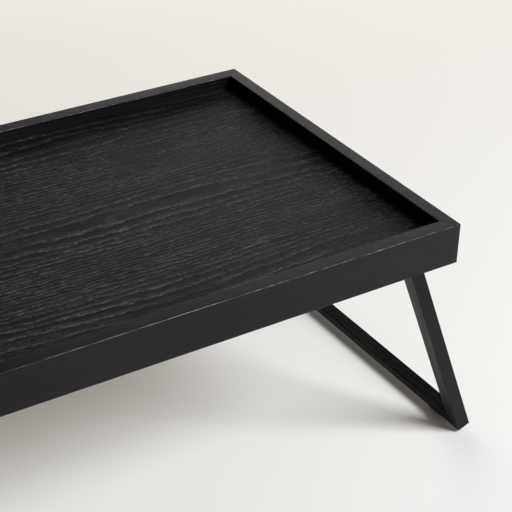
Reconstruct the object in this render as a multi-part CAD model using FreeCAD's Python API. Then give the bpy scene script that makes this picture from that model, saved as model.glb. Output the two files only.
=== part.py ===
import FreeCAD, Part
import math
import os

# Folding tray table: a mitred tray on two splayed leg frames that fold flat underneath.
# Millimetres, +Z up, X along the tray, -Y at the front. The origin is on the floor, below the tray's middle.

Vec = FreeCAD.Vector
X_AXIS = Vec(1, 0, 0)
Y_AXIS = Vec(0, 1, 0)
Z_AXIS = Vec(0, 0, 1)
ORIGIN = Vec(0, 0, 0)

# ---- Driving dimensions: the tray ----
tray_length = 600.0
tray_width = 360.0
table_height = 246.0
rail_thickness = 13.5
rail_height = 38.0
recess_depth = 12.5        # from the rim's top down to the panel
core_thickness = 4.0
veneer_thickness = 0.6
groove_depth = 6.0
groove_end_gap = 0.5       # between the panel's edge and the groove's bottom
edge_ease = 0.6            # every long wooden edge is broken by this much

# ---- Driving dimensions: the leg frames ----
splay = 21.0               # degrees that an open leg leans outward
leg_width = 14.6           # along Y
leg_depth = 13.1           # across the frame's own plane
foot_rail_height = 12.0
fold_clearance = 1.75      # between a folded frame and the panel above it
floor_gap = 2.4            # below the lowest corner of a leg

# ---- Driving dimensions: stop blocks and foot pads ----
block_length = 13.3        # along X, at the block's lower edge
block_setback = 2.0        # from the rails' lower edge up to the block
pad_length = 20.0
pad_width = 9.4
pad_inset = 40.0           # from the leg frame's side to the pad's middle
peg_radius = 2.0
peg_length = 6.0

# ---- Driving dimensions: hardware ----
bolt_radius = 2.5
bolt_engagement = 8.5      # length of bolt inside the insert
bolt_head_radius = 5.5
bolt_head_height = 2.8
bolt_head_round = 0.8
socket_across_flats = 3.0
socket_depth = 1.8
washer_radius = 6.0
spacer_thickness = 1.6     # nylon, between leg and rail
head_washer_thickness = 1.0
insert_radius = 3.75
insert_length = 9.0
insert_slot_width = 1.0
insert_slot_depth = 1.2
mitre_dowel_radius = 2.5
mitre_dowel_length = 10.0
foot_dowel_radius = 2.0
foot_dowel_in_leg = 9.0
foot_dowel_in_rail = 15.0
foot_dowel_spacing = 5.6
screw_radius = 1.75
screw_length = 24.0
screw_tip = 3.0
screw_head_radius = 3.3
screw_head_height = 1.9
screw_spacing = 9.2
cross_length = 4.0
cross_width = 0.9
cross_depth = 1.3

# ---- Clearances ----
bore_clearance = 0.05      # radial, bolt in leg
washer_clearance = 0.1     # radial, bolt in washer
side_play = 0.4            # between a leg and the washer on either side of it
stop_gap = 0.3             # between an open leg and its stop block
washer_room = 0.3          # radial, between a spacer washer and the stop block beside it

# ---- Places that follow from the dimensions ----
sin_splay = math.sin(math.radians(splay))
cos_splay = math.cos(math.radians(splay))
tan_splay = math.tan(math.radians(splay))
panel_thickness = core_thickness + 2 * veneer_thickness
tray_bottom = table_height - rail_height
panel_top = table_height - recess_depth
panel_bottom = panel_top - panel_thickness
half_length = tray_length / 2
half_width = tray_width / 2
rail_face_y = half_width - rail_thickness
half_depth = leg_depth / 2
block_bottom = tray_bottom + block_setback
pivot_z = panel_bottom - fold_clearance - half_depth
block_foot_x = half_length - rail_thickness - block_length
stop_offset = (half_depth + stop_gap) / cos_splay
pivot_x = block_foot_x - stop_offset - (pivot_z - block_bottom) * tan_splay
leg_reach = (pivot_z - floor_gap - half_depth * sin_splay) / cos_splay
frame_side_y = rail_face_y - spacer_thickness - side_play
leg_inner_y = frame_side_y - leg_width
head_washer_y = leg_inner_y - side_play
bolt_head_y = head_washer_y - head_washer_thickness
bolt_length = rail_face_y - bolt_head_y + bolt_engagement


def prism(points, direction):
    """Return the solid that a flat outline makes when it is pushed along a direction."""
    outline = Part.makePolygon(points + points[:1])
    return Part.Face(outline).extrude(direction)


def eased_box(low, high, direction):
    """Return a box whose four edges along one direction are broken by edge_ease."""
    size = high - low
    box = Part.makeBox(size.x, size.y, size.z, low)
    edges = [edge for edge in box.Edges if is_along(edge, direction)]
    return box.makeChamfer(edge_ease, edges)


def is_along(edge, direction):
    """Say whether a straight edge runs along a direction."""
    run = edge.Vertexes[-1].Point - edge.Vertexes[0].Point
    return run.cross(direction).Length < 1e-6


def turned_about(shape, axis, degrees):
    """Return a copy of a shape, turned about an axis through the origin."""
    copy = shape.copy()
    copy.rotate(ORIGIN, axis, degrees)
    return copy


def moved_to(shape, place):
    """Return a copy of a shape, moved by a vector."""
    copy = shape.copy()
    copy.translate(place)
    return copy


def to_other_end(shape):
    """Return the same piece at the other end of the table: half a turn about Z."""
    return turned_about(shape, Z_AXIS, 180)


def cut_all(shape, tools):
    """Return a shape with every tool cut from it."""
    for tool in tools:
        shape = shape.cut(tool)
    return shape


# ---- Hardware, each piece along +Z with its working face at the origin ----

def pivot_bolt():
    """Socket-head bolt: the shank runs up from the origin, the head lies below it."""
    head = Part.makeCylinder(bolt_head_radius, bolt_head_height, ORIGIN, -Z_AXIS)
    rim = [edge for edge in head.Edges if edge.BoundBox.ZMax < -bolt_head_height / 2 and edge.Closed]
    head = head.makeFillet(bolt_head_round, rim)
    shank = Part.makeCylinder(bolt_radius, bolt_length)
    corner_radius = socket_across_flats / math.sqrt(3)
    corners = []
    for index in range(6):
        angle = math.radians(60 * index)
        corners.append(Vec(corner_radius * math.cos(angle), corner_radius * math.sin(angle), -bolt_head_height))
    socket = prism(corners, Vec(0, 0, socket_depth))
    return head.fuse(shank).removeSplitter().cut(socket)


def threaded_insert():
    """Insert nut, sunk below the rail's face at the origin, with a driver slot in its mouth."""
    body = Part.makeCylinder(insert_radius, insert_length)
    slot_corner = Vec(-insert_radius, -insert_slot_width / 2, 0)
    slot = Part.makeBox(2 * insert_radius, insert_slot_width, insert_slot_depth, slot_corner)
    return body.cut(slot).cut(Part.makeCylinder(bolt_radius, insert_length))


def washer(thickness):
    """Flat washer for the pivot bolt."""
    disc = Part.makeCylinder(washer_radius, thickness)
    return disc.cut(Part.makeCylinder(bolt_radius + washer_clearance, thickness))


def screw_body():
    """Countersunk screw without its drive: the head's face is at the origin, the tip points up."""
    head = Part.makeCone(screw_head_radius, screw_radius, screw_head_height)
    shank_length = screw_length - screw_head_height - screw_tip
    shank = Part.makeCylinder(screw_radius, shank_length, Vec(0, 0, screw_head_height))
    tip = Part.makeCone(screw_radius, 0, screw_tip, Vec(0, 0, screw_length - screw_tip))
    return head.fuse(shank).fuse(tip).removeSplitter()


def wood_screw():
    """Countersunk screw with a cross recess."""
    across = Part.makeBox(cross_length, cross_width, cross_depth, Vec(-cross_length / 2, -cross_width / 2, 0))
    return screw_body().cut(across).cut(turned_about(across, Z_AXIS, 90))


def along_y(shape, side, x, y, z):
    """Turn a piece so that it points outward along Y, and put it on one side of the table."""
    return moved_to(turned_about(shape, X_AXIS, -90 * side), Vec(x, side * y, z))


# ---- The right end; side is -1 at the front and +1 at the back ----

def mitre_dowels(side):
    """The two dowels across one mitre of the right end."""
    middle = rail_thickness / 2
    direction = Vec(1, -side, 0)
    direction.normalize()
    heights = [table_height - recess_depth / 2, (tray_bottom + panel_bottom) / 2]
    dowels = []
    for height in heights:
        start = Vec(half_length - middle, side * (half_width - middle), height) - direction * (mitre_dowel_length / 2)
        dowels.append(Part.makeCylinder(mitre_dowel_radius, mitre_dowel_length, start, direction))
    return dowels


def screws_at(side, screw):
    """Both screws that hold one stop block to its long rail."""
    middle_x = half_length - rail_thickness - block_length / 2
    middle_z = (block_bottom + panel_bottom) / 2
    offsets = [-screw_spacing / 2, screw_spacing / 2]
    return [along_y(screw, side, middle_x, leg_inner_y, middle_z + offset) for offset in offsets]


def stop_block(side):
    """Corner block whose sloping face stops the open leg."""
    block_top_x = block_foot_x - (panel_bottom - block_bottom) * tan_splay
    inner_y = side * leg_inner_y
    end_x = half_length - rail_thickness
    outline = [
        Vec(block_foot_x, inner_y, block_bottom),
        Vec(end_x, inner_y, block_bottom),
        Vec(end_x, inner_y, panel_bottom),
        Vec(block_top_x, inner_y, panel_bottom),
    ]
    block = prism(outline, Vec(0, side * (rail_face_y - leg_inner_y), 0))
    washer_depth = spacer_thickness + side_play
    washer_space = Part.makeCylinder(washer_radius + washer_room, washer_depth)
    washer_space = along_y(washer_space, side, pivot_x, rail_face_y - washer_depth, pivot_z)
    return cut_all(block, screws_at(side, screw_body()) + [washer_space])


def splayed(shape):
    """Lean an upright leg-frame piece outward and hang it on the pivot."""
    return moved_to(turned_about(shape, Y_AXIS, -splay), Vec(pivot_x, 0, pivot_z))


def foot_dowels(side):
    """The two dowels between one upright leg and its foot rail."""
    joint_y = side * leg_inner_y
    start_y = joint_y - side * foot_dowel_in_rail
    height = -leg_reach + foot_rail_height / 2
    length = foot_dowel_in_rail + foot_dowel_in_leg
    dowels = []
    for offset in (-foot_dowel_spacing / 2, foot_dowel_spacing / 2):
        start = Vec(offset, start_y, height)
        dowels.append(Part.makeCylinder(foot_dowel_radius, length, start, Y_AXIS * side))
    return dowels


def upright_leg(side):
    """Leg with a round top about the pivot and a square-cut lower end."""
    low_y = min(side * leg_inner_y, side * frame_side_y)
    bar = Part.makeBox(leg_depth, leg_width, leg_reach, Vec(-half_depth, low_y, -leg_reach))
    crown = Part.makeCylinder(half_depth, leg_width, Vec(0, low_y, 0), Y_AXIS)
    leg = bar.fuse(crown).removeSplitter()
    leg = leg.makeChamfer(edge_ease, [edge for edge in leg.Edges if not is_along(edge, Y_AXIS)])
    bore = Part.makeCylinder(bolt_radius + bore_clearance, leg_width, Vec(0, low_y, 0), Y_AXIS)
    return cut_all(leg.cut(bore), foot_dowels(side))


def pad_pegs():
    """The pegs of both foot pads, upright below the pivot."""
    middle_y = frame_side_y - pad_inset
    places = [Vec(0, side * middle_y, -leg_reach) for side in (-1, 1)]
    return [Part.makeCylinder(peg_radius, peg_length, place) for place in places]


def upright_foot_rail():
    """Foot rail between the two legs, flush with their lower ends."""
    low = Vec(-half_depth, -leg_inner_y, -leg_reach)
    high = Vec(half_depth, leg_inner_y, -leg_reach + foot_rail_height)
    rail = eased_box(low, high, Y_AXIS)
    return cut_all(rail, foot_dowels(-1) + foot_dowels(1) + pad_pegs())


def foot_pad(side):
    """Oblong pad with a level sole on the floor, a sloping top against the foot rail, and its peg."""
    middle_y = side * (frame_side_y - pad_inset)
    foot_x = pivot_x + leg_reach * sin_splay
    straight = pad_length - pad_width
    body = Part.makeBox(pad_width, straight, leg_depth, Vec(foot_x - pad_width / 2, middle_y - straight / 2, 0))
    for end_y in (middle_y - straight / 2, middle_y + straight / 2):
        body = body.fuse(Part.makeCylinder(pad_width / 2, leg_depth, Vec(foot_x, end_y, 0)))
    rail_space = Part.makeBox(2 * leg_depth, 2 * pad_length, leg_reach)
    rail_space.translate(Vec(-leg_depth, middle_y - pad_length, -leg_reach))
    peg = Part.makeCylinder(peg_radius, peg_length, Vec(0, middle_y, -leg_reach))
    return body.cut(splayed(rail_space)).fuse(splayed(peg)).removeSplitter()


def long_rail():
    """Front rail: mitred, grooved for the panel and drilled for the pivots, dowels and screws."""
    front_y = -half_width
    outline = rail_outline(front_y)
    length = prism([Vec(-half_length, y, z) for y, z in outline], Vec(tray_length, 0, 0))
    rail = length.common(mitred_plan())
    tools = mitre_dowels(-1) + screws_at(-1, screw_body())
    tools.append(insert_hole(-1))
    tools += [to_other_end(tool) for tool in mitre_dowels(1) + screws_at(1, screw_body()) + [insert_hole(1)]]
    return cut_all(rail, tools)


def insert_hole(side):
    """The hole that one threaded insert fills."""
    return along_y(Part.makeCylinder(insert_radius, insert_length), side, pivot_x, rail_face_y, pivot_z)


def rail_outline(outer):
    """Section of a rail as (across, height) points, with its outer face at the given negative place."""
    inner = outer + rail_thickness
    groove = inner - groove_depth
    top = table_height
    ease = edge_ease
    return [
        (outer + ease, tray_bottom), (inner - ease, tray_bottom), (inner, tray_bottom + ease),
        (inner, panel_bottom), (groove, panel_bottom), (groove, panel_top), (inner, panel_top),
        (inner, top - ease), (inner - ease, top), (outer + ease, top),
        (outer, top - ease), (outer, tray_bottom + ease),
    ]


def mitred_plan():
    """The front rail's plan as an upright prism: mitred ends with eased outer corners."""
    inner_x = half_length - rail_thickness
    inner_y = -half_width + rail_thickness
    ease = edge_ease
    plan = [
        Vec(-half_length + ease, -half_width, tray_bottom), Vec(half_length - ease, -half_width, tray_bottom),
        Vec(half_length - ease / 2, -half_width + ease / 2, tray_bottom), Vec(inner_x, inner_y, tray_bottom),
        Vec(-inner_x, inner_y, tray_bottom), Vec(-half_length + ease / 2, -half_width + ease / 2, tray_bottom),
    ]
    return prism(plan, Vec(0, 0, rail_height))


def end_rail():
    """Right end rail: mitred and grooved, with the ends shaped by the long rails that meet it."""
    outline = rail_outline(-half_length)
    length = prism([Vec(-x, -half_width, z) for x, z in outline], Vec(0, tray_width, 0))
    inner_x = half_length - rail_thickness
    ease = edge_ease
    plan = [
        Vec(half_length, -half_width + ease, tray_bottom), Vec(half_length, half_width - ease, tray_bottom),
        Vec(half_length - ease / 2, half_width - ease / 2, tray_bottom), Vec(inner_x, rail_face_y, tray_bottom),
        Vec(inner_x, -rail_face_y, tray_bottom), Vec(half_length - ease / 2, -half_width + ease / 2, tray_bottom),
    ]
    rail = length.common(prism(plan, Vec(0, 0, rail_height)))
    return cut_all(rail, mitre_dowels(-1) + mitre_dowels(1))


def panel_layer(bottom, thickness):
    """One layer of the panel, reaching into the groove all round."""
    reach = groove_depth - groove_end_gap
    edge_x = half_length - rail_thickness + reach
    edge_y = rail_face_y + reach
    return Part.makeBox(2 * edge_x, 2 * edge_y, thickness, Vec(-edge_x, -edge_y, bottom))


def tray_pieces():
    """Rim and panel by node name."""
    front = long_rail()
    right = end_rail()
    return {
        "front_rail": front,
        "back_rail": to_other_end(front),
        "right_end_rail": right,
        "left_end_rail": to_other_end(right),
        "panel_back_veneer": panel_layer(panel_bottom, veneer_thickness),
        "panel_core": panel_layer(panel_bottom + veneer_thickness, core_thickness),
        "panel_face_veneer": panel_layer(panel_top - veneer_thickness, veneer_thickness),
    }


def corner_pieces(side):
    """Everything that repeats at each corner, for one corner of the right end, by the node's first words."""
    return {
        "mitre_dowels": Part.makeCompound(mitre_dowels(side)),
        "stop_block": stop_block(side),
        "block_screws": Part.makeCompound(screws_at(side, wood_screw())),
        "pivot_insert": along_y(threaded_insert(), side, pivot_x, rail_face_y, pivot_z),
        "pivot_bolt": along_y(pivot_bolt(), side, pivot_x, bolt_head_y, pivot_z),
        "spacer_washer": along_y(washer(spacer_thickness), side, pivot_x, rail_face_y - spacer_thickness, pivot_z),
        "head_washer": along_y(washer(head_washer_thickness), side, pivot_x, bolt_head_y, pivot_z),
        "leg": splayed(upright_leg(side)),
        "foot_rail_dowels": splayed(Part.makeCompound(foot_dowels(side))),
        "foot_pad": foot_pad(side),
    }


def all_pieces():
    """Every node's shape by its name."""
    pieces = tray_pieces()
    for side, right_name, left_name in ((-1, "front_right", "back_left"), (1, "back_right", "front_left")):
        for name, shape in corner_pieces(side).items():
            pieces[f"{name}_{right_name}"] = shape
            pieces[f"{name}_{left_name}"] = to_other_end(shape)
    foot_rail = splayed(upright_foot_rail())
    pieces["foot_rail_right"] = foot_rail
    pieces["foot_rail_left"] = to_other_end(foot_rail)
    return pieces


os.makedirs("parts", exist_ok=True)
for node, shape in all_pieces().items():
    shape.exportStep(f"parts/{node}.step")
print(f"pivot at x {pivot_x:.2f}, z {pivot_z:.2f}, leg reach {leg_reach:.2f}")
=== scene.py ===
"""Folding tray table in brushed, black-stained ash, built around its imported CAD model."""

import logging
import math
from collections.abc import Callable, Iterator
from contextlib import contextmanager
from abc import ABC, abstractmethod
from dataclasses import dataclass
from enum import Enum

import bmesh
import bpy
from bmesh.types import BMEdge, BMFace
from bpy.types import Material, Node, NodeSocket, NodeTree, Object
from mathutils import Matrix, Vector


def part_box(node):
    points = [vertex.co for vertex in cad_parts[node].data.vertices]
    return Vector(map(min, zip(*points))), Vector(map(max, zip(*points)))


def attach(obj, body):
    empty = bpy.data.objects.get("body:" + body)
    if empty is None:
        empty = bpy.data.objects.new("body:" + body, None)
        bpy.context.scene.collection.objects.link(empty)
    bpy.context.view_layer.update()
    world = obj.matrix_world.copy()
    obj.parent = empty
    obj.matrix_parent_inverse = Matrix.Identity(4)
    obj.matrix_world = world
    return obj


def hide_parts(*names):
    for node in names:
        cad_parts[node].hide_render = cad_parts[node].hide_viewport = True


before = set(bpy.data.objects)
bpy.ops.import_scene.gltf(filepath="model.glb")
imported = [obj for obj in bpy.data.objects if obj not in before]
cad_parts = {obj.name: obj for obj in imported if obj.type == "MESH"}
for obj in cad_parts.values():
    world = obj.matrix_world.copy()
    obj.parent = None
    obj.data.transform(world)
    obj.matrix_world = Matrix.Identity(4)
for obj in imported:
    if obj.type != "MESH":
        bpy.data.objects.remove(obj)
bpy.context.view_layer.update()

MM = 0.001
SPLAY = 21.0
ALIGNED = 0.999
BEVELLED_ANGLE = 35.0
SOFT_ANGLE = 40.0
FLAT_WEIGHT = 75
HOLLOW_DETAIL = 3
RING_ONSET = 0.12
RING_FALLOFF = 2.4
AXIS_X = Vector((1, 0, 0))
AXIS_Y = Vector((0, 1, 0))
AXIS_Z = Vector((0, 0, 1))
LOG = logging.getLogger("tray_table")
Point = tuple[float, float, float]
Colour = tuple[float, float, float]
Value = float | NodeSocket
Picked = BMEdge | BMFace


class Direction(Enum):
    """A direction seen from the middle of the table: its word and its sign along an axis."""

    @property
    def word(self) -> str:
        """The word that node names use."""
        return self.value[0]

    @property
    def sign(self) -> int:
        """-1 or +1."""
        return self.value[1]


class Side(Direction):
    """An end of the table, along X."""

    LEFT = ("left", -1)
    RIGHT = ("right", 1)


class Edge(Direction):
    """A long edge of the table, along Y."""

    FRONT = ("front", -1)
    BACK = ("back", 1)


class Element(Enum):
    """What a selection in edit mode picks."""

    EDGE = "edges"
    FACE = "faces"


class Grain(Enum):
    """The way the fibres of a piece run, as the turn in degrees that lays them along X."""

    ALONG_X = (0.0, 0.0, 0.0)
    ALONG_Y = (0.0, 0.0, -90.0)
    DOWN_RIGHT_LEG = (0.0, 90.0 + SPLAY, 0.0)
    DOWN_LEFT_LEG = (0.0, 90.0 - SPLAY, 0.0)


# ---- Working at the bench: adding, picking and finishing ----


def deselect_everything() -> None:
    """Leave edit mode with nothing selected, so that an operator acts on the new piece alone."""
    if bpy.context.mode != "OBJECT":
        bpy.ops.object.mode_set(mode="OBJECT")
    bpy.ops.object.select_all(action="DESELECT")


def make_active(piece: Object) -> None:
    """Select one piece and nothing else.

    Args:
        piece: The piece that the next operators act on.
    """
    deselect_everything()
    piece.select_set(True)
    bpy.context.view_layer.objects.active = piece


def named(piece: Object, name: str) -> Object:
    """Name a piece and its mesh, and fix its place into the mesh.

    Args:
        piece: The active piece.
        name: The name that it is reported under.

    Returns:
        The same piece, at the origin, unturned and unscaled.
    """
    piece.name = name
    piece.data.name = name
    bpy.ops.object.transform_apply(location=True, rotation=True, scale=True)
    return piece


def add_box(name: str, low: Vector, high: Vector) -> Object:
    """Add a box between two corners.

    Args:
        name: Name of the piece.
        low: Lowest corner in metres.
        high: Highest corner in metres.

    Returns:
        The new box.
    """
    deselect_everything()
    bpy.ops.mesh.primitive_cube_add(size=1.0, location=(low + high) / 2, scale=high - low)
    return named(bpy.context.active_object, name)


@contextmanager
def editing(piece: Object) -> Iterator[None]:
    """Work on one piece in edit mode, and leave edit mode afterwards.

    Args:
        piece: The piece to edit.
    """
    make_active(piece)
    bpy.ops.object.mode_set(mode="EDIT")
    yield
    bpy.ops.object.mode_set(mode="OBJECT")


def pick(piece: Object, kind: Element, test: Callable[[Picked], bool]) -> None:
    """Select in edit mode the edges or faces that pass a test.

    Args:
        piece: The piece in edit mode.
        kind: Whether edges or faces are picked.
        test: Says of one element whether it is wanted.
    """
    bpy.ops.mesh.select_mode(type=kind.name)
    bpy.ops.mesh.select_all(action="DESELECT")
    mesh = bmesh.from_edit_mesh(piece.data)
    wanted = [element for element in getattr(mesh, kind.value) if test(element)]
    for element in wanted:
        element.select_set(True)
    mesh.select_flush_mode()
    bmesh.update_edit_mesh(piece.data)


def runs_along(edge: BMEdge, direction: Vector) -> bool:
    """Say whether an edge runs along a direction."""
    run = (edge.verts[1].co - edge.verts[0].co).normalized()
    return abs(run.dot(direction)) > ALIGNED


def middle_of(edge: BMEdge) -> Vector:
    """The point halfway along an edge."""
    return (edge.verts[0].co + edge.verts[1].co) / 2


def cut_by_plane(point: Vector, normal: Vector) -> None:
    """Cut away, in edit mode, everything that lies in front of a plane, and close the cut."""
    bpy.ops.mesh.select_all(action="SELECT")
    bpy.ops.mesh.bisect(plane_co=point, plane_no=normal, use_fill=True, clear_outer=True)


def score_by_plane(point: Vector, normal: Vector) -> None:
    """Add a loop of edges, in edit mode, where a plane crosses the piece."""
    bpy.ops.mesh.select_all(action="SELECT")
    bpy.ops.mesh.bisect(plane_co=point, plane_no=normal)


def divide_along(piece: Object, direction: Vector, cuts: int) -> None:
    """Divide, in edit mode, every edge that runs along a direction."""
    pick(piece, Element.EDGE, lambda edge: runs_along(edge, direction))
    bpy.ops.mesh.subdivide(number_cuts=cuts)


def round_picked(width: float, segments: int) -> None:
    """Round the picked edges, in edit mode."""
    bpy.ops.mesh.bevel(offset=width, segments=segments, profile=0.5, affect="EDGES")


def draw_picked(by: Vector) -> None:
    """Draw the picked elements along a vector, in edit mode, with new sides behind them."""
    bpy.ops.mesh.extrude_region_move(TRANSFORM_OT_translate={"value": by})


def bevel_all(piece: Object, width: float, segments: int) -> None:
    """Round every sharp edge of a piece with a Bevel modifier, applied.

    Args:
        piece: The piece.
        width: Bevel width in metres.
        segments: Number of facets in the bevel.
    """
    make_active(piece)
    bevel = piece.modifiers.new("eased_edges", "BEVEL")
    bevel.width = width
    bevel.segments = segments
    bevel.limit_method = "ANGLE"
    bevel.angle_limit = math.radians(BEVELLED_ANGLE)
    bpy.ops.object.modifier_apply(modifier=bevel.name)


def weather(piece: Object, depth: float, feature: float) -> None:
    """Take the machine-made flatness off a piece: hollows up to a small depth, never proud of the surface.

    Args:
        piece: The piece, with enough divisions to show it.
        depth: Deepest hollow in metres.
        feature: Size of the hollows in metres.
    """
    make_active(piece)
    texture = bpy.data.textures.new(piece.name + "_hollows", "CLOUDS")
    texture.noise_scale = feature
    texture.noise_depth = HOLLOW_DETAIL
    displace = piece.modifiers.new("hollows", "DISPLACE")
    displace.texture = texture
    displace.texture_coords = "LOCAL"
    displace.strength = depth
    displace.mid_level = 1.0
    bpy.ops.object.modifier_apply(modifier=displace.name)
    bpy.data.textures.remove(texture)


def smooth(piece: Object) -> None:
    """Shade a piece smooth, with its flats kept flat and the turn of light left to its rounded edges.

    Args:
        piece: The piece.
    """
    make_active(piece)
    bpy.ops.object.shade_smooth_by_angle(angle=math.radians(SOFT_ANGLE))
    flats = piece.modifiers.new("flat_faces", "WEIGHTED_NORMAL")
    flats.mode = "FACE_AREA"
    flats.weight = FLAT_WEIGHT
    flats.keep_sharp = True
    bpy.ops.object.modifier_apply(modifier=flats.name)


def copy_of(piece: Object, name: str) -> Object:
    """Copy a piece together with its mesh.

    Args:
        piece: The piece to copy.
        name: Name of the copy.

    Returns:
        The copy, in the same place.
    """
    make_active(piece)
    bpy.ops.object.duplicate(linked=False)
    return named(bpy.context.active_object, name)


def turn(piece: Object, degrees: float, axis: str, centre: Vector) -> None:
    """Turn a piece's mesh about an axis by the right-hand rule.

    Args:
        piece: The piece.
        degrees: Angle of the turn.
        axis: "X", "Y" or "Z".
        centre: A point on the axis.
    """
    with editing(piece):
        bpy.ops.mesh.select_all(action="SELECT")
        # With no window, the operator turns against the right-hand rule.
        bpy.ops.transform.rotate(value=-math.radians(degrees), orient_axis=axis, center_override=centre)


def shift(piece: Object, by: Vector) -> None:
    """Move a piece's mesh.

    Args:
        piece: The piece.
        by: How far, in metres along each axis.
    """
    with editing(piece):
        bpy.ops.mesh.select_all(action="SELECT")
        bpy.ops.transform.translate(value=by)


def place(piece: Object, material: Material, body: str, node: str, slot: str) -> None:
    """Give a piece its finish, let it ride on its body and stand for its CAD node.

    Args:
        piece: The modelled piece.
        material: Its finish.
        body: CAD body that it rides on.
        node: CAD node that it replaces.
        slot: Material slot. Not used.
    """
    piece.data.materials.append(material)
    deselect_everything()
    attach(piece, body)
    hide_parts(node)
    LOG.info("%s: %d faces, rides on %s, stands for %s", piece.name, len(piece.data.polygons), body, node)


def dress(node: str, material: Material) -> None:
    """Give a CAD node that keeps its shape a better finish.

    Args:
        node: Name of the node.
        material: The finish.
    """
    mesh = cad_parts[node].data
    mesh.materials.clear()
    mesh.materials.append(material)
    LOG.info("%s keeps its CAD shape and is finished as %s", node, material.name)


# ---- Node graphs, shared by materials and by the veneer's relief ----


class Graph:
    """Adds nodes to a shader or geometry tree and links them."""

    def __init__(self, tree: NodeTree) -> None:
        """Keep the tree that nodes are added to."""
        self.tree = tree

    def node(self, kind: str, **settings: object) -> Node:
        """Add a node.

        Args:
            kind: The node's type name.
            **settings: Properties of the node.

        Returns:
            The new node.
        """
        node = self.tree.nodes.new(kind)
        for key, value in settings.items():
            setattr(node, key, value)
        return node

    def feed(self, socket: NodeSocket, value: object) -> None:
        """Link an input to an output, or set its own value.

        Args:
            socket: The input.
            value: An output to link, or the value to set.
        """
        if isinstance(value, NodeSocket):
            self.tree.links.new(value, socket)
        else:
            socket.default_value = value

    def math(self, operation: str, *values: Value, clamp: bool = False) -> NodeSocket:
        """Add a Math node.

        Args:
            operation: The node's operation.
            *values: As many values as the operation takes.
            clamp: Whether the result is kept between 0 and 1.

        Returns:
            The result.
        """
        node = self.node("ShaderNodeMath", operation=operation, use_clamp=clamp)
        for socket, value in zip(node.inputs, values):
            self.feed(socket, value)
        return node.outputs[0]

    def times(self, first: Value, second: Value, clamp: bool = False) -> NodeSocket:
        """One value times another."""
        return self.math("MULTIPLY", first, second, clamp=clamp)

    def scaled(self, value: Value, factor: Value, added: Value) -> NodeSocket:
        """A value times a factor, with another value added."""
        return self.math("MULTIPLY_ADD", value, factor, added)

    def vector(self, operation: str, first: NodeSocket, second: Point = (0.0, 0.0, 0.0)) -> Node:
        """Add a Vector Math node.

        Args:
            operation: The node's operation.
            first: First vector.
            second: Second vector, for operations that take two.

        Returns:
            The new node.
        """
        node = self.node("ShaderNodeVectorMath", operation=operation)
        self.feed(node.inputs[0], first)
        node.inputs[1].default_value = second
        return node

    def noise(self, at: NodeSocket, stretch: Point | None, detail: float, rough: float = 0.5) -> NodeSocket:
        """Add a Noise Texture of scale 1.

        Args:
            at: Where it is read.
            stretch: Features per metre along each axis, or None where the place is already scaled.
            detail: Number of finer layers.
            rough: Strength of the finer layers.

        Returns:
            The noise, from 0 to 1.
        """
        node = self.node("ShaderNodeTexNoise")
        self.feed(node.inputs["Vector"], self.vector("MULTIPLY", at, stretch).outputs[0] if stretch else at)
        for name, number in (("Scale", 1.0), ("Detail", detail), ("Roughness", rough)):
            node.inputs[name].default_value = number
        return node.outputs[0]

    def ramp(
        self, value: NodeSocket, low: float, high: float, start: float = 0.0, end: float = 1.0,
    ) -> NodeSocket:
        """Map a value from one range to another, smoothly and clamped.

        Args:
            value: The value.
            low: Value that gives start.
            high: Value that gives end.
            start: Result at low.
            end: Result at high.

        Returns:
            The mapped value.
        """
        node = self.node("ShaderNodeMapRange", interpolation_type="SMOOTHSTEP")
        self.feed(node.inputs["Value"], value)
        for name, number in (("From Min", low), ("From Max", high), ("To Min", start), ("To Max", end)):
            node.inputs[name].default_value = number
        return node.outputs[0]

    def split(self, vector: NodeSocket) -> tuple[NodeSocket, NodeSocket, NodeSocket]:
        """Take a vector apart.

        Args:
            vector: The vector.

        Returns:
            Its X, Y and Z.
        """
        node = self.node("ShaderNodeSeparateXYZ")
        self.feed(node.inputs[0], vector)
        return node.outputs[0], node.outputs[1], node.outputs[2]

    def blend(self, factor: Value, first: Colour | NodeSocket, second: Colour | NodeSocket) -> NodeSocket:
        """Mix two colours.

        Args:
            factor: Share of the second colour.
            first: Colour at factor 0.
            second: Colour at factor 1.

        Returns:
            The mixed colour.
        """
        node = self.node("ShaderNodeMix", data_type="RGBA")
        self.feed(node.inputs["Factor"], factor)
        sockets = [socket for socket in node.inputs if socket.type == "RGBA"]
        for socket, colour in zip(sockets, (first, second)):
            self.feed(socket, colour if isinstance(colour, NodeSocket) else (*colour, 1.0))
        return next(socket for socket in node.outputs if socket.type == "RGBA")


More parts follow.
